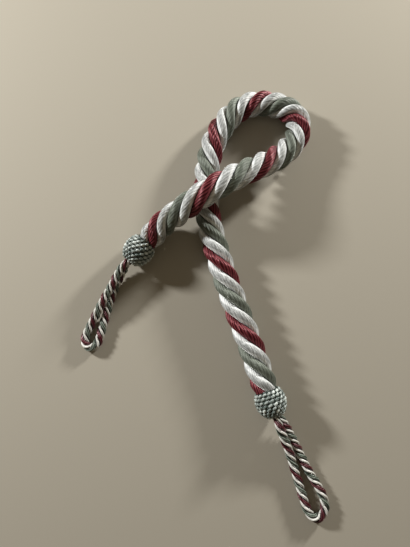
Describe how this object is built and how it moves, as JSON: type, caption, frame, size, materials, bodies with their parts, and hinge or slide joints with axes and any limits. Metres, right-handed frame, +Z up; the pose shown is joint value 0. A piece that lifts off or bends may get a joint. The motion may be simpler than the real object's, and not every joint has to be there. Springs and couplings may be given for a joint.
{
  "type": "twisted rope curtain tieback with woven knots and hook loops",
  "caption": "Thick twisted rope tieback, folded back over itself, with a woven knot and a doubled cord hook loop at each end, lying flat.",
  "frame": {"origin": "on the surface that the tieback lies on, under the middle of its bounding box", "axes": "+Z is up from the surface, +Y runs from the lower right hook loop towards the rope's bight, +X to the right as seen from above"},
  "size_m": [0.2327, 0.4143, 0.0501],
  "materials": {
    "rope_yarn": "burgundy, cream and sage strands, silky",
    "knot_yarn": "dark green and white, woven",
    "cord_yarn": "burgundy, cream and sage strands, silky"
  },
  "bodies": {
    "root": {"main_rope": "rope_yarn", "upper_left_knot": "knot_yarn", "lower_right_knot": "knot_yarn", "upper_left_hook_loop": "cord_yarn", "lower_right_hook_loop": "cord_yarn"}
  },
  "joints": []
}
